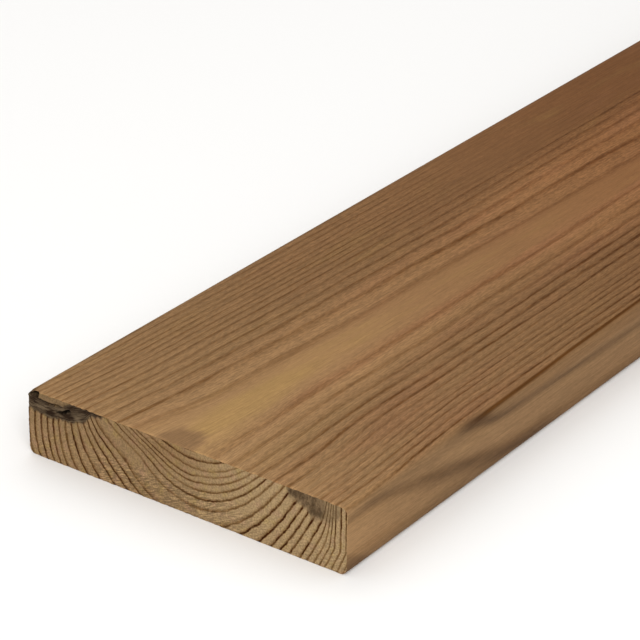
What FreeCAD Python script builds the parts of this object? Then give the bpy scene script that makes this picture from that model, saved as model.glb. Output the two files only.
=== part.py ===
import FreeCAD, Part
import math
import os

# A softwood decking board: one length of planed timber with smooth faces. Its four long
# edges are eased to a small round by the planer's cutters, and both ends are sawn square.
# It lies flat on its underside. The origin is the middle of the underside: +X runs along
# the board, +Y across its face and +Z up through its thickness.

# Driving dimensions, mm
board_length = 2400.0
board_width = 145.0
board_thickness = 27.0
upper_edge_radius = 3.0
lower_edge_radius = 3.0


def point_on_round(x, centre_y, centre_z, radius, angle):
    """A point of a rounded edge, seen along the board, with the angle turned from +Y to +Z."""
    turn = math.radians(angle)
    return FreeCAD.Vector(x, centre_y + radius * math.cos(turn), centre_z + radius * math.sin(turn))


def board_section(x):
    """The planed section at one place along the board, as a closed outline of arcs and lines."""
    half_width = board_width / 2
    upper_y = half_width - upper_edge_radius
    upper_z = board_thickness - upper_edge_radius
    lower_y = half_width - lower_edge_radius
    lower_z = lower_edge_radius
    # Each rounded edge in turn: its centre, its radius and the angle at which it starts
    rounds = [
        (upper_y, upper_z, upper_edge_radius, 0),
        (-upper_y, upper_z, upper_edge_radius, 90),
        (-lower_y, lower_z, lower_edge_radius, 180),
        (lower_y, lower_z, lower_edge_radius, 270),
    ]
    arcs = []
    for centre_y, centre_z, radius, start_angle in rounds:
        start, middle, end = (
            point_on_round(x, centre_y, centre_z, radius, start_angle + turn) for turn in (0, 45, 90)
        )
        arcs.append(Part.Arc(start, middle, end))
    edges = []
    for arc, next_arc in zip(arcs, arcs[1:] + arcs[:1]):
        edges.append(arc.toShape())
        edges.append(Part.LineSegment(arc.EndPoint, next_arc.StartPoint).toShape())
    return Part.Wire(edges)


def decking_board():
    """The whole board: its section carried straight from one sawn end to the other."""
    sawn_end = Part.Face(board_section(-board_length / 2))
    return sawn_end.extrude(FreeCAD.Vector(board_length, 0, 0))


os.makedirs("parts", exist_ok=True)
board = decking_board()
board.exportStep("parts/decking_board.step")
print("decking_board: valid", board.isValid(), "solids", len(board.Solids), "litres", round(board.Volume / 1e6, 4))
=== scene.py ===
import math

import bpy
import numpy as np
from mathutils import Matrix, Vector


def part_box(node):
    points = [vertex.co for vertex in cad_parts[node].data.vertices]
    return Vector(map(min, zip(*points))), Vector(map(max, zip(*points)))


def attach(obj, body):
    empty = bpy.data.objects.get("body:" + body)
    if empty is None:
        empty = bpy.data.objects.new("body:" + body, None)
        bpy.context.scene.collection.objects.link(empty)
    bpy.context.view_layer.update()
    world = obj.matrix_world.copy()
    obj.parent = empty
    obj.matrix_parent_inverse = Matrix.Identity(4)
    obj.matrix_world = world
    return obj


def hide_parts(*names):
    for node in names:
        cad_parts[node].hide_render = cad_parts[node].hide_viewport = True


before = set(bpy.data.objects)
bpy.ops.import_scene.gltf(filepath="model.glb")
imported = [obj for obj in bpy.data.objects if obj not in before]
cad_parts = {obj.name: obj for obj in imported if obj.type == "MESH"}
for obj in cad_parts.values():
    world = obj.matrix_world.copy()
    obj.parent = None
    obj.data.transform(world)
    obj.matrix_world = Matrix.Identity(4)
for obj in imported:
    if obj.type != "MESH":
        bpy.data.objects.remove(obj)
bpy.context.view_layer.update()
low, high = (Vector(corner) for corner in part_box("decking_board"))

# View of the sawn end
# A long lens looks down on the board from the right of its sawn end, and the board runs away
# to the upper right, out of the picture.
view_azimuth = math.radians(-54.56)
view_elevation = math.radians(26.93)
camera_roll = math.radians(-0.86)
picture_px = 640
focal_length_px = 2865.0
end_middle_px = (182.5, 512.0)
end_distance_m = 1.032
sensor_width_mm = 36.0

near_end = Vector((low.x, (low.y + high.y) / 2, low.z))
back = Vector((
    math.sin(view_azimuth) * math.cos(view_elevation),
    -math.cos(view_azimuth) * math.cos(view_elevation),
    math.sin(view_elevation),
))
level = (-back).cross(Vector((0, 0, 1))).normalized()
plumb = (-back).cross(level)
right = math.cos(camera_roll) * level + math.sin(camera_roll) * plumb
down = math.cos(camera_roll) * plumb - math.sin(camera_roll) * level
metres_per_px = end_distance_m / focal_length_px
aside = (end_middle_px[0] - picture_px / 2) * metres_per_px
below = (end_middle_px[1] - picture_px / 2) * metres_per_px

camera = bpy.data.objects.new("camera", bpy.data.cameras.new("camera"))
camera.data.sensor_width = sensor_width_mm
camera.data.lens = focal_length_px / picture_px * sensor_width_mm
camera.data.clip_start = 0.05
camera.data.clip_end = 50
camera.matrix_world = Matrix((right, -down, back)).transposed().to_4x4()
camera.location = near_end + back * end_distance_m - right * aside - down * below
bpy.context.scene.collection.objects.link(camera)
bpy.context.scene.camera = camera
bpy.context.scene.view_settings.view_transform = "Standard"


# Studio floor and light
# A plain, pale floor and an even white sky. One large soft lamp hangs on the camera's side of the
# sawn end and lights all three faces, and a weaker one hangs over the far part of the board.
def linear(hex_colour):
    """An sRGB hex colour as the linear colour that a shader takes."""
    values = [int(hex_colour[i : i + 2], 16) / 255 for i in (1, 3, 5)]
    return [v / 12.92 if v <= 0.04045 else ((v + 0.055) / 1.055) ** 2.4 for v in values] + [1.0]


# Matt white paint: an even surface that shows only the board's soft shadow
floor_paint = bpy.data.materials.new("matt_white_paint")
floor_paint.use_nodes = True
floor_shader = floor_paint.node_tree.nodes["Principled BSDF"]
floor_shader.inputs["Base Color"].default_value = linear("#F7F6F4")
floor_shader.inputs["Roughness"].default_value = 0.9

floor_half_m = 7.0
floor_corners = [(-1, -1), (1, -1), (1, 1), (-1, 1)]
floor_mesh = bpy.data.meshes.new("studio_floor")
floor_points = [(x * floor_half_m, y * floor_half_m, low.z) for x, y in floor_corners]
floor_mesh.from_pydata(floor_points, [], [(0, 1, 2, 3)])
floor_mesh.materials.append(floor_paint)
floor = bpy.data.objects.new("studio_floor", floor_mesh)
bpy.context.scene.collection.objects.link(floor)

sky = bpy.data.worlds.new("studio")
bpy.context.scene.world = sky
sky.use_nodes = True
sky.node_tree.nodes["Background"].inputs["Color"].default_value = linear("#FFFFFF")
sky.node_tree.nodes["Background"].inputs["Strength"].default_value = 0.75

# Each lamp: its place from the sawn end, the distance along the board it points at, size and watts
lamps = {
    "lamp_by_camera": ((-0.95, -0.80, 1.00), 0.08, 0.9, 14.0),
    "lamp_over_board": ((1.2, 1.4, 2.2), 1.10, 2.0, 13.0),
}
for lamp_name, (offset, target_along, size, watts) in lamps.items():
    lamp = bpy.data.objects.new(lamp_name, bpy.data.lights.new(lamp_name, "AREA"))
    lamp.data.size = size
    lamp.data.energy = watts
    lamp.location = near_end + Vector(offset)
    aim = near_end + Vector((target_along, 0, 0)) - lamp.location
    lamp.rotation_euler = aim.to_track_quat("-Z", "Y").to_euler()
    bpy.context.scene.collection.objects.link(lamp)


# The decking board
# One length of softwood, sawn beside the heart of the tree, planed on four sides, cut square and
# treated brown. It is one closed shell, finest on the sawn end that the picture shows.
width = (high.y - low.y) * 1000
thickness = (high.z - low.z) * 1000
length = (high.x - low.x) * 1000
edge_round = 3.0
# The picture shows at most this much of the board's length, from the photographed end
seen_length = 460.0


def waves(points, size, seed):
    """Smooth random hills and hollows between -1 and 1, about size mm across."""
    draw = np.random.default_rng(seed)
    total = 0
    for _ in range(14):
        direction = draw.normal(size=points.shape[-1])
        direction *= draw.uniform(0.6, 1.5) * math.pi / (size * np.linalg.norm(direction))
        total = total + np.cos(points @ direction + draw.uniform(0, 2 * math.pi))
    return np.clip(total / 5, -1, 1)


def ramp(value, start, end):
    """0 before start, 1 after end and a smooth rise between them."""
    t = np.clip((value - start) / (end - start), 0, 1)
    return t * t * (3 - 2 * t)


def hump(value, middle, reach):
    """1 at the middle, falling softly to 0 on both sides."""
    return np.exp(-(((value - middle) / reach) ** 2))


# Rings on the photographed end, numbered from the heart, with +y on the left. The inner ones dip
# below the heart: their lowest heights are given, apart for each side. The outer ones cross the
# lower edge: their distances from the middle are given, in mm. The spreads say how flat the rings
# lie, and the last lists say how dark each late-wood line is.
heart_y = -6.0
left_dips = [23.5, 20.1, 16.4, 14.2, 11.4, 8.3, 4.3]
right_dips = [23.8, 20.1, 17.8, 15.0, 11.6, 8.1, 4.0]
left_crossings = [12.4, 19.2, 25.7, 31.4, 38.4, 44.3, 49.4, 53.8, 57.1, 60.3, 63.7, 67.1, 70.4]
right_crossings = [17.0, 26.0, 34.3, 39.5, 43.8, 47.7, 52.2, 55.3, 58.3, 60.7, 63.0, 65.8, 68.3]
left_spread = 75.0
right_spread = 53.0
left_inner_dark = [0.80, 0.46, 0.70, 0.74, 0.42, 0.76, 0.44]
right_inner_dark = [0.80, 0.44, 0.44, 0.56, 0.66, 0.86, 0.58]
left_dark = [0.60, 0.90, 0.84, 0.84, 0.84, 1.00, 0.68, 0.72, 0.95, 0.92, 0.90, 0.88, 0.80]
right_dark = [0.70, 1.06, 1.02, 0.96, 0.96, 0.92, 0.97, 0.70, 0.54, 0.66, 0.62, 0.60, 0.62]


def sawn_rings(y, z):
    """Ring number and line darkness at each point of the photographed end."""
    reach = np.abs(y - heart_y)
    on_left = y > heart_y
    # The knots held the outer rings back, so these stand steeper towards the upper edge
    held_left = 0.085 * ramp(reach, 43, 66) * np.maximum(z, 0) ** 1.5
    held_right = 0.39 * ramp(reach, 55, 62) * np.maximum(z - 9, 0)
    reach = reach + np.where(on_left, held_left, held_right)
    bulge = 3.4 * hump(y, 22, 13) * hump(z, 16, 9)
    height = z - reach**2 / np.where(on_left, left_spread, right_spread) - bulge * on_left
    numbers = []
    darkness = []
    for dips, crossings, sign, spread, dark in (
        (left_dips, left_crossings, 1, left_spread, left_inner_dark + left_dark),
        (right_dips, right_crossings, -1, right_spread, right_inner_dark + right_dark),
    ):
        falls = [-dip for dip in dips] + [(c - sign * heart_y) ** 2 / spread for c in crossings]
        first_step = falls[1] - falls[0]
        last_step = falls[-1] - falls[-2]
        marks = [falls[0] - 2 * first_step] + falls + [falls[-1] + 6 * last_step]
        counts = [-2, *range(len(falls)), len(falls) + 5]
        number = np.interp(-height, marks, counts)
        numbers.append(number)
        darkness.append(np.interp(number, range(len(falls)), dark))
    side = ramp(y - heart_y, -4, 4)
    return [side * left + (1 - side) * right for left, right in (numbers, darkness)]


# Ring lines on the planed face, numbered outwards from the middle, in mm, with how dark they are.
# The left ones are taken at the end, the right ones where they have settled past the knot, which
# pushes them outwards. The spread says how flat the rings lie below the face.
left_lines = [22.5, 29.5, 36.3, 41.0, 45.3, 49.3, 53.1, 56.2, 59.3, 62.4, 65.0, 67.7, 70.6, 73.4, 76.2]
left_line_dark = [0.40, 0.68, 0.53, 0.56, 0.50, 0.62, 0.52, 0.52, 0.64, 0.55, 0.55, 0.50, 0.5, 0.5, 0.5]
right_lines = [14.3, 22.7, 29.0, 34.3, 39.5, 44.5, 48.4, 52.0, 54.9, 57.5, 60.9, 64.1, 67.8, 71.3, 74.6]
right_line_dark = [0.52, 0.48, 0.68, 0.82, 0.88, 0.80, 0.47, 0.40, 0.66, 0.68, 0.72, 0.82, 0.9, 0.0, 0.0]
knot_push = 3.6
planed_spread = 60.0


def planed_lines(along):
    """Where the ring lines lie across the planed face at one place along the board."""
    left = np.array(left_lines)
    settled = 1 - math.exp(-along / 150)
    drift = np.interp(left, [-6, 25, 49, 60, 66, 76], [0, 18.5, 11.4, 12.6, 11.8, 8.4])
    slow_drift = 3.0 * ramp(along, 190, 330) * np.interp(left, [22.5, 29.5, 41], [1, 0.4, 0.1])
    slow_drift += 3.2 * ramp(along, 2, 40) * np.interp(left, [22.5, 29.5], [1, 0])
    ripple = 0.7 * settled * math.sin(along / 21) * hump(left, 30, 14)
    left = left - drift * settled - slow_drift - 0.7 * hump(along, 38, 24) + ripple
    right = np.array(right_lines)
    near_knot = np.interp(right, [30, 34, 40, 45, 60], [0, 0.1, 0.5, 0.8, 1])
    pushed = knot_push * math.exp(-((along / 55) ** 2.5)) * near_knot
    dip = 1.3 * hump(along, 58, 26) * np.interp(right, [12, 22, 45, 56], [0, 1, 1, 0])
    right = right + pushed - dip + 0.9 * ramp(along, 80, 260)
    # Past the picture the grain only wanders slowly
    sway = 2.2 * math.sin(along / 260) + 1.3 * math.sin(along / 117 + 1)
    wander = sway * ramp(along, seen_length - 10, 900)
    return left + wander, right - wander


def planed_rings(along, y, z):
    """Ring number, line darkness and straightened place across the grain, on the board's outside."""
    left, right = planed_lines(along)
    middle = (left[0] - right[0]) / 2
    reach = np.abs(y - middle)
    depth = thickness - z
    dished = np.sqrt(reach**2 + planed_spread * depth)
    # On the right edge face the rings near the knot lean the other way
    push_below = knot_push * (math.exp(-((along / 71) ** 2.7)) - math.exp(-((along / 55) ** 2.5)))
    lean = (0.20 - 0.07 * ramp(along, 70, 200)) * depth + 0.002 * depth**2 + push_below * ramp(depth, 0, 6)
    leaning = ramp(reach, 50, 66) * (1 - ramp(along, 250, 450)) * (y < middle)
    reach = dished + (reach - lean - dished) * leaning
    results = []
    for lines, darks, straight, sign in (
        (left, left_line_dark, left_lines, 1),
        (right, right_line_dark, right_lines, -1),
    ):
        marks = np.concatenate([[0], lines - sign * middle, [lines[-1] - sign * middle + 12]])
        number = np.interp(reach, marks, [*range(len(lines) + 1), len(lines) + 4])
        dark = np.interp(number, range(len(lines) + 1), [0, *darks])
        place = sign * np.interp(reach, marks, [0, *straight, straight[-1] + 12])
        results.append((number, dark, place))
    side = ramp(y - middle, -3, 3)
    number, dark, place = [side * a + (1 - side) * b for a, b in zip(*results)]
    # The left lines blur together further along the photographed stretch
    blurred = ramp(along, 200, 290) * (1 - ramp(along, seen_length, 600)) * ramp(y, 37, 44)
    # The right edge face shows broad bands in place of thin lines, and they are drawn further on
    on_right_edge = ramp(-y, 70.5, 72.4)
    dark = dark * (1 - 0.8 * blurred) * (1 - 0.8 * on_right_edge)
    # Just behind the sawn end the right lines are fainter, most of all in the middle of that part
    faint = 0.16 * ramp(-y, 5, 25) + 0.22 * hump(y, -36, 10)
    return number, dark * (1 - faint * math.exp(-((along / 45) ** 2))), place


# Knots and damage on the photographed end, in mm. On the left a branch was sawn lengthwise: its
# dead wood has a check in it, and the corner above it broke away; painted shade blackens both. On
# the right the side of a second branch shows. The left knot is the strip between its lower and its
# upper line, and the right one reaches from its lower line up to the edge.
left_knot_y = [35, 38, 41.5, 43.5, 45, 47, 50, 53, 57, 63, 66, 70, 73]
left_knot_low = [27.0, 26.0, 24.8, 23.4, 21.6, 20.8, 19.8, 18.8, 18.5, 17.8, 17.9, 18.4, 18.8]
left_knot_high = [28.5, 28.5, 28.5, 28.5, 28.5, 28.5, 28.5, 26.4, 24.4, 23.8, 24.2, 25.4, 26.0]
right_knot_y = [-72, -69, -67, -65, -63, -61, -59, -56.5, -55, -53, -51, -47.5, -46]
right_knot_low = [23.5, 21.5, 19.8, 18.8, 18.9, 19.2, 18.0, 18.6, 20.8, 21.9, 22.6, 23.6, 25.4]
check_path = [(58.8, 21.2), (56.5, 21.6), (55.3, 22.1), (54.4, 22.9), (53.3, 23.5), (52.5, 23.4)]
second_check_path = [(66.5, 24.0), (64.0, 23.7), (61.0, 23.8), (58.0, 24.3)]
# Dark and pale parts of the dead wood: their middle across and up, their half width and half
# height, and their shade, below 0 where they are dark
dead_wood = [
    (61.7, 20.3, 2.2, 1.3, -0.8), (53.2, 21.2, 3.0, 1.4, -0.7), (69.8, 23.4, 1.8, 1.6, -0.6),
    (46.0, 25.8, 6.0, 1.0, -0.6), (38.0, 26.8, 4.0, 0.7, -0.5), (66.0, 21.0, 4.5, 0.5, 0.9),
    (61.0, 22.2, 5.0, 0.4, 0.5), (49.0, 21.6, 1.4, 1.3, 0.8), (56.5, 23.2, 2.5, 0.4, 0.4),
    (-50.0, 25.6, 4.5, 1.6, -0.7), (-57.8, 22.5, 1.0, 4.5, -0.6), (-61.2, 21.0, 2.2, 1.6, -0.9),
    (-61.8, 25.3, 2.0, 1.4, 0.5), (-54.3, 23.9, 2.0, 0.8, 0.1), (-59.8, 24.0, 0.6, 2.5, 0.4),
    (-68.3, 23.0, 0.9, 2.0, -1.2), (-65.3, 20.2, 0.8, 0.8, -1.0),
]


def distance_to_path(y, z, path):
    """How far each point is from a path of straight stretches."""
    nearest = np.full(y.shape, np.inf)
    for (y0, z0), (y1, z1) in zip(path, path[1:]):
        t = ((y - y0) * (y1 - y0) + (z - z0) * (z1 - z0)) / ((y1 - y0) ** 2 + (z1 - z0) ** 2)
        t = np.clip(t, 0, 1)
        nearest = np.minimum(nearest, np.hypot(y - y0 - t * (y1 - y0), z - z0 - t * (z1 - z0)))
    return nearest


def knot_masks(y, z):
    """How far each point of the photographed end is knot and open void, which takes painted shade, and the
    dead wood's shade.
    """
    section = np.stack([y, z], -1)
    ragged = 0.5 * waves(section, 2.0, 3) + 0.3 * waves(section, 0.9, 4)
    above = z - np.interp(y, left_knot_y, left_knot_low)
    beneath = np.interp(y, left_knot_y, left_knot_high) - z
    left = ramp(np.minimum(above, beneath) + ragged, -0.5, 0.7) * (y > left_knot_y[0])
    above = z - np.interp(y, right_knot_y, right_knot_low)
    right = ramp(above + 1.3 * ragged, -1.3, 1.4) * ramp(-y, 45.5, 47.2)
    right = right * (1 - 0.45 * ramp(-y, 60.5, 64.0) - 0.55 * ramp(-y, 67.5, 71.0))
    check = 1 - ramp(distance_to_path(y, z, check_path) + 0.15 * ragged, 0.25, 0.65)
    second = 0.55 * (1 - ramp(distance_to_path(y, z, second_check_path), 0.1, 0.6))
    pit = 1 - ramp(np.hypot(y - 53.6, 1.2 * (z - 23.3)), 0.4, 1.0)
    corner = 1 - ramp(np.hypot(0.7 * (y - 70.2), z - 26.6) + ragged, 1.2, 2.2)
    under_corner = 1 - ramp(np.hypot(y - 68.5, 1.1 * (z - 25.3)) + 0.5 * ragged, 0.5, 1.3)
    shade = 0.0
    for middle_y, middle_z, half_width, half_height, amount in dead_wood:
        shade = shade + amount * hump(y, middle_y, half_width) * hump(z, middle_z, half_height)
    # The void joins the checks, the pit and the broken corner, which the end grain fills with painted shade
    return left, 0.88 * right, np.maximum.reduce([check, second, pit, corner, under_corner]), shade


# The shell: a fine grid over the photographed end, rows of points round the board, and a coarser
# grid over the far end. The grids' outer lines follow the rounded edges.
cells_across = 360
cells_up = 68
round_cells = 7


def steps_along_side(size, cells):
    """Grid lines over one side of the section, in mm, as many on each round as round_cells."""
    middle = np.linspace(edge_round, size - edge_round, cells - 2 * round_cells + 1)
    corner = np.linspace(0, edge_round, round_cells + 1)
    return np.concatenate([corner[:-1], middle, size - corner[-2::-1]])


def around(grid):
    """The values on a grid's outer lines, once round the section."""
    return np.concatenate([grid[0, :-1], grid[:-1, -1], grid[-1, :0:-1], grid[:0:-1, 0]])


def grid_faces(index):
    """Square faces over a grid of point numbers."""
    return np.stack([index[:-1, :-1], index[1:, :-1], index[1:, 1:], index[:-1, 1:]], -1).reshape(-1, 4)


def join_rows(first, second):
    """Faces between two rows round the board, where one may have twice as many points."""
    if len(first) == len(second):
        return np.stack([first, np.roll(first, -1), np.roll(second, -1), second], -1).tolist()
    many, few = (first, second) if len(first) > len(second) else (second, first)
    a, b, c = many[::2], many[1::2], np.roll(many, -2)[::2]
    d, e = few, np.roll(few, -1)
    corners = [(a, b, d), (b, e, d), (b, c, e)]
    if len(first) < len(second):
        corners = [face[::-1] for face in corners]
    return [face for each in corners for face in np.stack(each, -1).tolist()]


grid_y, grid_z = np.meshgrid(steps_along_side(width, cells_across), steps_along_side(thickness, cells_up))
centre_y = np.clip(grid_y, edge_round, width - edge_round)
centre_z = np.clip(grid_z, edge_round, thickness - edge_round)
out_y = (grid_y - centre_y) / edge_round
out_z = (grid_z - centre_z) / edge_round
grid_y = centre_y + edge_round * out_y * np.sqrt(1 - out_z**2 / 2) - width / 2
grid_z = centre_z + edge_round * out_z * np.sqrt(1 - out_y**2 / 2)
near_index = np.arange(grid_y.size).reshape(grid_y.shape)

# Rows along the board: their distance from the photographed end, and every how many points they use
seen_rows = 168
unseen_rows = 118
rows = [(0.5, 1), (1.3, 2), (2.2, 2), (3.6, 4)]
rows += [(along, 4) for along in np.linspace(3.6, seen_length, seen_rows + 1)[1:]]
rows += [(along, 4) for along in np.linspace(seen_length, length - 4, unseen_rows + 1)[1:]]
rows += [(length - 2, 2)]

points = [np.stack([np.zeros(grid_y.size), grid_y.ravel(), grid_z.ravel()], 1)]
faces = grid_faces(near_index).tolist()
near_face_count = len(faces)
count = grid_y.size
previous = around(near_index)
for along, skip in rows:
    row_y = around(grid_y)[::skip]
    points.append(np.stack([np.full(len(row_y), along), row_y, around(grid_z)[::skip]], 1))
    current = count + np.arange(len(row_y))
    faces += join_rows(previous, current)
    previous = current
    count += len(row_y)
far_y, far_z = grid_y[::2, ::2], grid_z[::2, ::2]
far_index = count + np.arange(far_y.size).reshape(far_y.shape)
points.append(np.stack([np.full(far_y.size, length), far_y.ravel(), far_z.ravel()], 1))
faces += join_rows(previous, around(far_index))
long_face_end = len(faces)
faces += grid_faces(far_index)[:, ::-1].tolist()
points = np.concatenate(points)

# Values that each point carries to the finishes. Each finish has ring numbers of its own, because
# the points on the outline of the photographed end belong to both.
along_all, y_all, z_all = points.T
on_near = near_index.ravel()
near_y, near_z = y_all[on_near], z_all[on_near]
planed_number = np.zeros(len(points))
planed_dark = np.zeros(len(points))
place_all = np.zeros(len(points))
for along in np.unique(along_all):
    row = along_all == along
    planed_number[row], planed_dark[row], place_all[row] = planed_rings(along, y_all[row], z_all[row])
far_end_dark = 0.75
sawn_number = planed_number.copy()
sawn_darkness = np.full(len(points), far_end_dark)
sawn_number[on_near], sawn_darkness[on_near] = sawn_rings(near_y, near_z)
# Where rings are wide, their lines are a smaller part of them
step = 0.2
usual_ring_width = 3.2
rise_across = sawn_rings(near_y + step, near_z)[0] - sawn_number[on_near]
rise_up = sawn_rings(near_y, near_z + step)[0] - sawn_number[on_near]
ring_width = step / np.maximum(np.hypot(rise_across, rise_up), 0.01)
sharpness = np.ones(len(points))
sharpness[on_near] = np.clip((ring_width / usual_ring_width) ** 0.8, 0.85, 2.4)
left_knot, right_knot, void_and_shade, shade = knot_masks(near_y, near_z)
# No ring line shows in the sliver above the left knot, and hardly any on the right knot's middle.
# The lines that squeeze past the right knot are darker, at the corner beside it and just below it.
sliver = ramp(near_z - np.interp(near_y, left_knot_y, left_knot_high), -0.4, 0.2)
squeezed = 1 + 0.6 * ramp(near_z, 13, 19) * ramp(-near_y, 61, 65)
above_knot_line = near_z - np.interp(near_y, right_knot_y, right_knot_low)
squeezed += 0.5 * hump(above_knot_line, -1.3, 1.6) * ramp(-near_y, 45, 47) * ramp(near_y, -62, -60)
hidden = 0.8 * right_knot * (1 - 0.6 * ramp(-near_y, 61, 65))
sawn_darkness[on_near] *= (1 - sliver) * (1 - hidden) * squeezed
# The end grain is a little darker and redder below the middle of the upper edge, dark in the
# sliver, paler low on the left and darker low in the middle
flushed = hump(near_y, 5, 15) * ramp(near_z, 14, 23)
low_down = ramp(-near_z, -15, -9)
sawn_tone = np.ones(len(points))
sawn_tone[on_near] += low_down * (0.10 * ramp(near_y, 15, 28) - 0.06 * hump(near_y, 4, 7))
sawn_tone[on_near] -= 0.02 * flushed + 0.26 * sliver

# Brightness of the planed faces: paler in the middle of the upper one, at both sawn ends and at a
# few places between the ring lines
on_top = ramp(z_all, thickness - 2.5, thickness - 0.4)
in_picture = 1 - ramp(along_all, seen_length, 600)
middle_stripe = hump(y_all, 0.5, 9.5) * (1 - 0.9 * ramp(along_all, 40, 155))
middle_zone = 0.17 + 0.08 * ramp(along_all, 45, 100) + 0.10 * ramp(along_all, 180, 300)
zone_edge = 14 + 9 * ramp(along_all, 190, 270)
middle_zone = middle_zone * (1 - ramp(np.abs(y_all) - zone_edge, 0, 20))
paler_places = [
    0.13 * hump(y_all, -19, 5) * hump(along_all, 85, 30),
    0.08 * hump(np.abs(y_all), 19, 7) * ramp(along_all, 215, 250) * in_picture,
    0.05 * ramp(y_all, 48, 56) * ramp(along_all, 130, 160) * (1 - ramp(along_all, 330, 400)),
]
from_end = np.minimum(along_all, length - along_all)
tone = 1 + on_top * (middle_zone + 0.15 * middle_stripe + sum(paler_places)) + 0.17 * np.exp(-from_end / 28)
# A soft brown band lies along the innermost ring line on the left
soft_band = hump(place_all, 21.5, 4.0) * ramp(along_all, 35, 75)
tone -= 0.08 * on_top * soft_band
# A thin painted highlight lies along the sawn upper edge, here and there, where the burr catches the light
burr_highlight = np.clip(0.5 + 0.8 * waves(y_all[:, None], 3.0, 14), 0, 1)
tone += 0.22 * on_top * hump(along_all, 0.3, 0.7) * burr_highlight
# The corner above the left knot is darkened with painted shade where it broke away
tone *= 1 - 0.8 * hump(along_all, 0, 2.5) * hump(y_all, 71.3, 2.6) * ramp(z_all, 22, 25)
# Golden (above 0) or reddish (below 0) wood, and how far the general tone has turned dark and
# reddish, which it goes half back from beyond the picture
reddish_places = [
    0.8 * hump(place_all, -12.5, 4) * ramp(along_all, 5, 60),
    0.4 * hump(place_all, -29, 7) * ramp(along_all, 60, 140),
    0.4 * hump(y_all, 23, 4) * ramp(along_all, 110, 170),
    0.55 * ramp(-y_all, 30, 42) * hump(along_all, 70, 65),
    0.5 * soft_band,
]
golden = on_top * (0.9 * middle_stripe - sum(reddish_places))
redder = ramp(along_all, -80, 430) - 0.5 * ramp(along_all, 550, 1500)
# Stains: a purple-brown blotch on top at the end, and a branch mark on the upper right edge
blotch_reach = np.hypot((along_all - 3.5) / 9, (y_all - 3.5) / 9)
blotch_reach += 0.12 * waves(np.stack([along_all, y_all], -1), 3.0, 15)
blotch = (1 - ramp(blotch_reach, 0.70, 1.20)) * on_top
golden = golden * (1 - blotch)
branch_mark = 0.9 * hump(along_all, 79, 9) * hump(z_all, 25.6, 1.7) * ramp(-y_all, 69, 71.5)
# The right edge face is paler wood, lit up further with painted light, more so away from the end,
# but less so high up past the knot
edge_face = ramp(-y_all, 71, 72.2)
pale_and_lit_edge = edge_face * (0.30 + 0.28 * ramp(along_all, 10, 95))
pale_and_lit_edge *= 1 - 0.5 * ramp(z_all, 20.5, 22.5) * ramp(along_all, 95, 130)
# From the branch mark on, a thin dark line runs along the upper right edge
edge_line = [(72, -72.0), (92, -71.6), (128, -71.3), (148, -70.9), (198, -70.6), (seen_length, -70.3)]
edge_line_y = np.interp(along_all, *np.array(edge_line).T)
edge_line_dark = ramp(along_all, 72, 90) * (1 - ramp(along_all, seen_length, 700)) * ramp(z_all, 15, 22)
# The right edge face darkens towards the bottom, with painted shade on its rounded lower edge and
# dirt in its corner by the sawn end, and the upper part of that face is shaded
dirt_and_shade = (0.42 - 0.17 * ramp(along_all, 120, 150)) * ramp(-z_all, -8, -2.5)
dirt_and_shade += 0.5 * ramp(-z_all, -2.2, -0.6) + 0.52 * ramp(10.5 - z_all - 0.5 * along_all, 0, 3.5)
dirt_and_shade *= edge_face
upper_shade = 0.34 * ramp(z_all, 19, 23.5) * (1 - 0.5 * ramp(along_all, 95, 130)) * edge_face
upper_shade *= 0.4 + 0.6 * ramp(along_all, 3, 15)
# Two broad bands on the right edge face, where the branch pushed the rings apart: their paths
# along it and up it, and how wide and dark they are at some places along it. The lower one fades
# out slowly downwards, and a faint third one lies between them further on.
lower_band = [(0, 21.9), (10, 22.8), (21, 22.1), (34, 19.3), (52, 15.8), (64, 13.1), (74, 11.0)]
lower_band += [(85, 8.4), (95, 6.2), (105, 4.8), (118, 3.2), (140, 2.0)]
upper_band = [(72, 26.5), (80, 24.6), (96, 20.8), (110, 20.1), (135, 19.6), (160, 18.5), (200, 17.8)]
upper_band += [(seen_length, 9)]
lower_width = np.interp(along_all, [0, 30, 50, 60, 100], [1.0, 2.4, 3.3, 3.5, 3.3])
lower_dark = np.interp(along_all, [0, 30, 45, 62, 95, 125, 155], [0.42, 0.46, 0.62, 0.74, 0.72, 0.50, 0])
upper_width = np.interp(along_all, [72, 100, 125], [2.1, 1.8, 1.4])
upper_dark = np.interp(along_all, [78, 90, 150, 200, seen_length], [0, 0.76, 0.82, 0.68, 0])
bands = lower_dark * hump(distance_to_path(along_all, z_all, lower_band), 0, lower_width)
bands += upper_dark * hump(distance_to_path(along_all, z_all, upper_band), 0, upper_width)
band_height = np.interp(along_all, *np.array(lower_band).T)
bands += 0.14 * ramp(band_height - z_all, 0, 4) * hump(along_all, 70, 30) * (1 - ramp(-z_all, -5, -2))
bands += 0.14 * hump(z_all, 9, 4) * ramp(along_all, 100, 125) * (1 - ramp(along_all, 150, 220))
# The stains carry the painted shade of the right edge face as well
stains_and_shade = np.clip(0.60 * blotch + branch_mark + dirt_and_shade + upper_shade + bands * edge_face, 0, 1)

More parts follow.
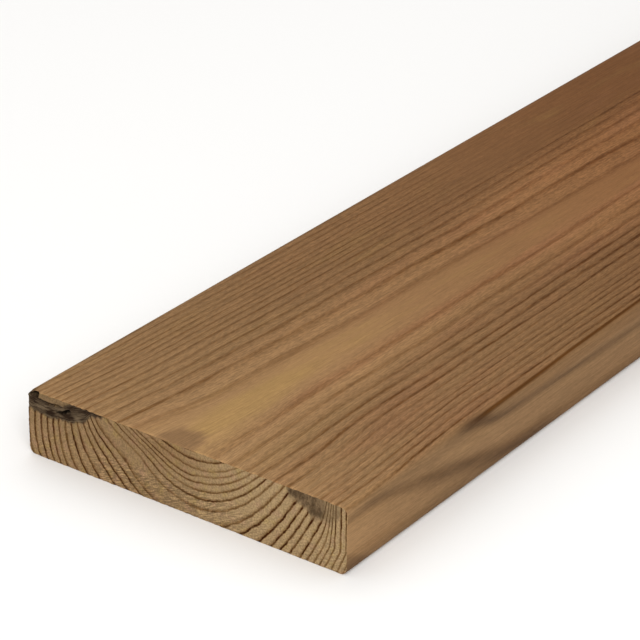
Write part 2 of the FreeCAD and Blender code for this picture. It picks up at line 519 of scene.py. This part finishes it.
# Shallow relief, pressed inwards only, with its sizes in mm: the saw's scores and the fuzz that it
# leaves, torn knot wood, the checks, the crumbled outline and the broken corner
score_angle = math.radians(22)
score_spacing = 1.4
score_depth = 0.08
fuzz_depth = 0.04
torn_depth = 0.25
check_depth = 1.6
crumbled_depth = 0.13
section = np.stack([near_y, near_z], -1)
across_scores = near_z * math.cos(score_angle) + near_y * math.sin(score_angle)
scored = ramp(near_y, -38, -12) * (1 - ramp(near_y, 36, 46))
scored = (0.4 + 0.6 * scored) * ramp(-near_z, -15, -8)
scores = 0.5 + 0.5 * np.sin(2 * math.pi * across_scores / score_spacing + 1.8 * waves(section, 4, 8))
pressed = score_depth * scored * scores + fuzz_depth * (1 + waves(section, 1.5, 9))
pressed += torn_depth * left_knot * (1 + waves(section, 1.4, 10)) + check_depth * void_and_shade
points[on_near, 0] += pressed
rim = np.unique(around(near_index))
crumbled = crumbled_depth + 0.10 * waves(points[rim], 2.5, 11) + 0.08 * waves(points[rim], 0.9, 12)
inner_low = [-width / 2 + edge_round, edge_round]
inner_high = [width / 2 - edge_round, thickness - edge_round]
inwards = np.clip(points[rim, 1:], inner_low, inner_high) - points[rim, 1:]
points[rim, 1:] += inwards / np.linalg.norm(inwards, axis=1, keepdims=True) * crumbled[:, None]
broken_reach = 2.6
from_corner = np.linalg.norm(points - [0, 71.0, 26.8], axis=1)
points += ramp(broken_reach - from_corner, 0, broken_reach)[:, None] * [0, -0.5, -0.7]
points = np.clip(points, [0, -width / 2, 0], [length, width / 2, thickness])

board_mesh = bpy.data.meshes.new("planed_board")
board_mesh.from_pydata((points / 1000 + np.array(near_end)).tolist(), [], faces)

branch_middle = np.interp(near_y, left_knot_y, left_knot_low)
along_branch = np.where(near_y > 0, near_y, 1.6 * near_z)
across_branch = np.where(near_y > 0, near_z - branch_middle, near_y)
carried_by_all = {
    "planed_rings": planed_number,
    "planed_dark": planed_dark,
    "grain": np.stack([along_all, place_all, z_all], 1),
    "tone": tone,
    "golden": golden,
    "redder": redder,
    "stains_and_shade": stains_and_shade,
    "pale_and_lit_edge": pale_and_lit_edge,
    "beside_edge_line": y_all - edge_line_y,
    "edge_line_dark": edge_line_dark,
    "sawn_rings": sawn_number,
    "sawn_dark": sawn_darkness,
    "sharpness": sharpness,
    "sawn_tone": sawn_tone,
    "pale_side": ramp(y_all, 28, -45),
}
carried_by_end = {
    "flushed": flushed,
    "branch": np.stack([along_branch, across_branch, 0 * near_y], 1),
    "left_knot": left_knot,
    "right_knot": right_knot,
    "void_and_shade": void_and_shade,
    "dead_shade": shade,
    "scored": scored,
}
for name, on_end in carried_by_end.items():
    values = np.zeros((len(points),) + on_end.shape[1:])
    values[on_near] = on_end
    carried_by_all[name] = values
for name, values in carried_by_all.items():
    kind, field = ("FLOAT", "value") if values.ndim == 1 else ("FLOAT_VECTOR", "vector")
    layer = board_mesh.attributes.new(name, kind, "POINT")
    layer.data.foreach_set(field, values.astype(np.float32).ravel())
board_mesh.polygons.foreach_set("use_smooth", np.ones(len(faces), bool))
sharp_turn = math.radians(50)
board_mesh.set_sharp_from_angle(angle=sharp_turn)
sawn = np.ones(len(faces), np.int32)
sawn[near_face_count:long_face_end] = 0
board_mesh.polygons.foreach_set("material_index", sawn)


def add_node(tree, kind, inputs=None, output=0, **settings):
    """Adds a node and gives one of its outputs. An input takes a value or the output that feeds it."""
    node = tree.nodes.new("ShaderNode" + kind)
    for name, value in settings.items():
        setattr(node, name, value)
    for name, source in (inputs or {}).items():
        if isinstance(source, bpy.types.NodeSocket):
            tree.links.new(source, node.inputs[name])
        else:
            node.inputs[name].default_value = source
    return node.outputs[output]


smooth = {"interpolation_type": "SMOOTHSTEP"}


def spots(tree, coordinates, size_mm, values=(0.0, 1.0), used=None, detail=2.0, roughness=0.5):
    """Random spots of a size along each axis, between two values. Where only a part of the noise's
    range is used, they get firm edges."""
    scaled = add_node(tree, "VectorMath", {0: coordinates, 1: size_mm}, operation="DIVIDE")
    settings = {"Vector": scaled, "Scale": 1.0, "Detail": detail, "Roughness": roughness}
    noise = add_node(tree, "TexNoise", settings, output="Fac")
    start, end = used or (0.0, 1.0)
    edges = smooth if used else {"clamp": False}
    return add_node(tree, "MapRange", {0: noise, 1: start, 2: end, 3: values[0], 4: values[1]}, **edges)


def late_wood(tree, number, soft_start, line_start, line_end, sharpness=1.0):
    """The dark part of each ring: a soft shade towards it, then a line that ends sharply outside."""
    phase = add_node(tree, "Math", {0: number, 1: 0.5, 2: -0.5}, operation="WRAP")
    sharp = add_node(tree, "Math", {0: phase, 1: sharpness}, operation="MULTIPLY")
    soft_shade = add_node(tree, "MapRange", {0: phase, 1: soft_start, 2: -0.03, 4: 0.5}, **smooth)
    line = add_node(tree, "MapRange", {0: sharp, 1: line_start, 2: -0.05, 4: 0.5}, **smooth)
    inside = add_node(tree, "MapRange", {0: sharp, 1: 0.02, 2: line_end, 3: 1.0, 4: 0.0}, **smooth)
    both = add_node(tree, "Math", {0: soft_shade, 1: line}, operation="ADD")
    return add_node(tree, "Math", {0: both, 1: inside}, operation="MULTIPLY")


def layered(tree, colour, layers):
    """A colour with others laid over it in turn, each by its amount and its way of mixing."""
    for amount, tint, mixing in layers:
        inputs = {0: amount, 6: colour, 7: tint}
        colour = add_node(tree, "Mix", inputs, output=2, data_type="RGBA", blend_type=mixing)
    return colour


# Planed pine, treated brown
# Matt and close-grained. The eye meets thin ring lines over soft brown shades, fine fibres along
# the grain, a golden middle, and a tone that turns darker and redder away from the sawn end.
planed_pine = bpy.data.materials.new("planed_treated_pine")
planed_pine.use_nodes = True
tree = planed_pine.node_tree
shader = tree.nodes["Principled BSDF"]
names = ["planed_rings", "planed_dark", "tone", "golden", "redder", "stains_and_shade"]
names += ["pale_and_lit_edge", "beside_edge_line", "edge_line_dark"]
carried = {name: add_node(tree, "Attribute", output="Fac", attribute_name=name) for name in names}
grain = add_node(tree, "Attribute", output="Vector", attribute_name="grain")

# Ring lines that wander a little and are broken up along the grain
slow_wobble = spots(tree, grain, (45, 5, 5), (-0.15, 0.15))
quick_wobble = spots(tree, grain, (12, 3, 3), (-0.12, 0.12))
wobble = add_node(tree, "Math", {0: slow_wobble, 1: quick_wobble}, operation="ADD")
number = add_node(tree, "Math", {0: carried["planed_rings"], 1: wobble}, operation="ADD")
patchy = spots(tree, grain, (38, 2.5, 2.5), (0.60, 1.15), (0.32, 0.62))
broken_up = spots(tree, grain, (6, 1.5, 1.5), (0.75, 1.12), (0.34, 0.58))
late = late_wood(tree, number, -0.54, -0.20, 0.21)
for strength in (carried["planed_dark"], patchy, broken_up):
    late = add_node(tree, "Math", {0: late, 1: strength}, operation="MULTIPLY")
beside_line = add_node(tree, "Math", {0: carried["beside_edge_line"]}, operation="ABSOLUTE")
line_inputs = {0: beside_line, 1: 0.20, 2: 0.95, 3: carried["edge_line_dark"], 4: 0.0}
thin_line = add_node(tree, "MapRange", line_inputs, **smooth)
late = add_node(tree, "Math", {0: late, 1: thin_line}, operation="MAXIMUM")

mottle = spots(tree, grain, (50, 9, 9), (-0.8, 0.8))
golden_here = add_node(tree, "Math", {0: carried["golden"], 1: mottle}, operation="ADD")
golden_part = add_node(tree, "MapRange", {0: golden_here, 1: 0.0, 2: 1.0, 4: 0.5}, **smooth)
reddish_part = add_node(tree, "MapRange", {0: golden_here, 1: 0.0, 2: -1.0, 4: 0.5}, **smooth)
colour = layered(tree, linear("#8B6C49"), [
    (carried["redder"], linear("#6F492A"), "MIX"),
    (golden_part, linear("#8C7040"), "MIX"),
    (reddish_part, linear("#845A3D"), "MIX"),
    # The right edge face's paler wood, with painted light
    (carried["pale_and_lit_edge"], linear("#8F7151"), "MIX"),
    (late, linear("#B0966A"), "MULTIPLY"),
    # The stains, with the painted shade on the right edge face
    (carried["stains_and_shade"], linear("#AAA6A9"), "MULTIPLY"),
])
# Single fibres are about 3 mm long and 0.03 mm thick, too fine to show. They are drawn as long
# bundles 0.5 mm thick and as torn flecks 0.4 mm thick, which are stronger where ring lines are dark.
fibres = spots(tree, grain, (22, 0.5, 0.5), (0.83, 1.15), (0.25, 0.75), 3.0, 0.6)
torn = spots(tree, grain, (2.4, 0.4, 0.4), (-0.20, 0.22), (0.32, 0.70))
torn_inputs = {0: carried["planed_dark"], 1: 0.10, 2: 0.55, 3: 0.35, 4: 0.85}
torn_strength = add_node(tree, "MapRange", torn_inputs, **smooth)
flecks = add_node(tree, "Math", {0: torn, 1: torn_strength, 2: 1.0}, operation="MULTIPLY_ADD")
for brightness in (carried["tone"], fibres, flecks):
    colour = add_node(tree, "VectorMath", {0: colour, "Scale": brightness}, operation="SCALE")
tree.links.new(colour, shader.inputs["Base Color"])
line_height = add_node(tree, "Math", {0: late, 1: 0.5}, operation="MULTIPLY")
height = add_node(tree, "Math", {0: flecks, 1: 0.3, 2: line_height}, operation="MULTIPLY_ADD")
bump = add_node(tree, "Bump", {"Height": height, "Strength": 0.5, "Distance": 0.0002})
tree.links.new(bump, shader.inputs["Normal"])
shader.inputs["Roughness"].default_value = 0.7
shader.inputs["IOR"].default_value = 1.5
shader.inputs["Specular IOR Level"].default_value = 0.05

# Sawn end grain of the same pine
# Dry and matt. Thick, dark late-wood lines stand out like cords in tan early wood, with saw scores
# low down drawn as painted highlights, streaked grey-brown knot wood, and painted black shade in
# the checks and the broken corner.
sawn_pine = bpy.data.materials.new("sawn_pine_end_grain")
sawn_pine.use_nodes = True
tree = sawn_pine.node_tree
shader = tree.nodes["Principled BSDF"]
names = ["sawn_rings", "sawn_dark", "sharpness", "sawn_tone", "pale_side", "flushed", "left_knot"]
names += ["right_knot", "void_and_shade", "dead_shade", "scored"]
carried = {name: add_node(tree, "Attribute", output="Fac", attribute_name=name) for name in names}
place = add_node(tree, "TexCoord", output="Object")
place_mm = add_node(tree, "VectorMath", {0: place, "Scale": 1000.0}, operation="SCALE")

# Ring lines, beaded where the saw tore them
wobble = spots(tree, place_mm, (3, 3, 3), (-0.15, 0.15))
number = add_node(tree, "Math", {0: carried["sawn_rings"], 1: wobble}, operation="ADD")
beads = spots(tree, place_mm, (1.1, 1.1, 1.1), (0.72, 1.0), (0.28, 0.55))
patchy = spots(tree, place_mm, (8, 8, 8), (0.80, 1.10), (0.35, 0.60))
late = late_wood(tree, number, -0.40, -0.20, 0.17, carried["sharpness"])
for strength in (carried["sawn_dark"], beads, patchy):
    late = add_node(tree, "Math", {0: late, 1: strength}, operation="MULTIPLY")

# Early wood, tan with olive and pinkish patches
patch = spots(tree, place_mm, (6, 4, 4))
olive_part = add_node(tree, "MapRange", {0: patch, 1: 0.52, 2: 0.72, 4: 0.22}, **smooth)
pinkish_part = add_node(tree, "MapRange", {0: patch, 1: 0.48, 2: 0.28, 4: 0.22}, **smooth)
colour = layered(tree, linear("#866C4C"), [
    (carried["pale_side"], linear("#99805D"), "MIX"),
    (olive_part, linear("#96803F"), "MIX"),
    (pinkish_part, linear("#9A7060"), "MIX"),
    (carried["flushed"], linear("#F4EEE8"), "MULTIPLY"),
    (late, linear("#EBD3A6"), "MULTIPLY"),
    (late, linear("#6C4C2C"), "MULTIPLY"),
])
# The cut cells are 0.03 mm across, too fine to show, so their grit is drawn 0.7 mm coarse. A saw
# tooth's stroke is too fine as well and is drawn 0.4 mm thick and leaning as the scores do, as a
# painted highlight with a little painted shade beside it.
grit = spots(tree, place_mm, (0.7, 0.7, 0.7), (0.80, 1.19), (0.3, 0.7))
turned = add_node(tree, "VectorRotate", {0: place_mm, "Angle": score_angle}, rotation_type="X_AXIS")
strokes = spots(tree, turned, (1, 3.6, 0.42), (-0.20, 0.37), (0.42, 0.61), 1.0)
strokes = add_node(tree, "Math", {0: strokes, 1: carried["scored"]}, operation="MULTIPLY")
stroke_highlight_and_shade = add_node(tree, "Math", {0: strokes, 1: 1.0}, operation="ADD")
for brightness in (carried["sawn_tone"], grit, stroke_highlight_and_shade):
    colour = add_node(tree, "VectorMath", {0: colour, "Scale": brightness}, operation="SCALE")

# Dead knot wood: streaked along the branch on the left, smudged on the right
branch = add_node(tree, "Attribute", output="Vector", attribute_name="branch")
streaks = spots(tree, branch, (5.0, 0.45, 1.0), detail=3.0, roughness=0.6)
streak_inputs = {0: carried["dead_shade"], 1: 0.30, 2: streaks}
streaks = add_node(tree, "Math", streak_inputs, operation="MULTIPLY_ADD")
pale_streaks = add_node(tree, "MapRange", {0: streaks, 1: 0.28, 2: 0.80}, **smooth)
streaked = layered(tree, linear("#271A10"), [(pale_streaks, linear("#665642"), "MIX")])
smudges = spots(tree, place_mm, (1.0, 1.1, 2.0), detail=3.0, roughness=0.65)
smudge_inputs = {0: carried["dead_shade"], 1: 0.26, 2: smudges}
smudges = add_node(tree, "Math", smudge_inputs, operation="MULTIPLY_ADD")
pale_smudges = add_node(tree, "MapRange", {0: smudges, 1: 0.26, 2: 0.72}, **smooth)
smudged = layered(tree, linear("#38291B"), [(pale_smudges, linear("#6E5941"), "MIX")])
colour = layered(tree, colour, [
    (carried["left_knot"], streaked, "MIX"),
    (carried["right_knot"], smudged, "MIX"),
    # Painted shade, nearly black, fills the open checks, the pit and the broken corner
    (carried["void_and_shade"], linear("#0E0A06"), "MIX"),
])
tree.links.new(colour, shader.inputs["Base Color"])
height = add_node(tree, "Math", {0: late, 1: 0.6, 2: strokes}, operation="MULTIPLY_ADD")
height = add_node(tree, "Math", {0: grit, 1: 0.8, 2: height}, operation="MULTIPLY_ADD")
bump = add_node(tree, "Bump", {"Height": height, "Strength": 0.8, "Distance": 0.0003})
tree.links.new(bump, shader.inputs["Normal"])
shader.inputs["Roughness"].default_value = 0.85
shader.inputs["IOR"].default_value = 1.5
shader.inputs["Specular IOR Level"].default_value = 0.05

board_mesh.materials.append(planed_pine)
board_mesh.materials.append(sawn_pine)
board = bpy.data.objects.new("planed_board", board_mesh)
bpy.context.scene.collection.objects.link(board)
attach(board, "root")
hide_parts("decking_board")
